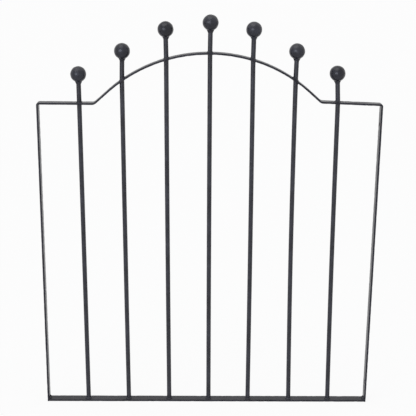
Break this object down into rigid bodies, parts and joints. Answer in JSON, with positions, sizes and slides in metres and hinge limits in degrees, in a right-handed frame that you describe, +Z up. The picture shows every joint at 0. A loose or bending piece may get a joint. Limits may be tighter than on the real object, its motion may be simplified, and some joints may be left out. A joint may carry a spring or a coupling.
{
  "type": "wrought iron garden gate leaf",
  "caption": "Small arched garden gate leaf of round upright bars in a bent flat-bar hoop, with a ball finial on each bar, hung by its plain side stile.",
  "frame": {"origin": "on the hinge stile's outer flat face, mid-depth, midway between the two hinge bolt holes", "axes": "+X out of the hinge stile's outer face, away from the leaf; +Y from the front of the leaf to its back; +Z up"},
  "size_m": [0.87, 0.04, 1.044],
  "materials": {
    "flat_bar": "satin black paint over forged flat bar",
    "round_bar": "satin black paint over drawn round bar",
    "forged_balls": "satin black paint over a rough forged ball",
    "weld_beads": "satin black paint over rippled weld"
  },
  "bodies": {
    "root": {"ball_1": "forged_balls", "ball_2": "forged_balls", "ball_3": "forged_balls", "ball_4": "forged_balls", "ball_5": "forged_balls", "ball_6": "forged_balls", "ball_7": "forged_balls", "bar_1": "round_bar", "bar_2": "round_bar", "bar_3": "round_bar", "bar_4": "round_bar", "bar_5": "round_bar", "bar_6": "round_bar", "bar_7": "round_bar", "bottom_rail": "flat_bar", "corner_welds": "weld_beads", "crossing_welds_1": "weld_beads", "crossing_welds_2": "weld_beads", "crossing_welds_3": "weld_beads", "crossing_welds_4": "weld_beads", "crossing_welds_5": "weld_beads", "crossing_welds_6": "weld_beads", "crossing_welds_7": "weld_beads", "foot_weld_1": "weld_beads", "foot_weld_2": "weld_beads", "foot_weld_3": "weld_beads", "foot_weld_4": "weld_beads", "foot_weld_5": "weld_beads", "foot_weld_6": "weld_beads", "foot_weld_7": "weld_beads", "hoop": "flat_bar", "neck_weld_1": "weld_beads", "neck_weld_2": "weld_beads", "neck_weld_3": "weld_beads", "neck_weld_4": "weld_beads", "neck_weld_5": "weld_beads", "neck_weld_6": "weld_beads", "neck_weld_7": "weld_beads", "stub_1": "round_bar", "stub_2": "round_bar", "stub_3": "round_bar", "stub_4": "round_bar", "stub_5": "round_bar", "stub_6": "round_bar", "stub_7": "round_bar"}
  },
  "joints": []
}
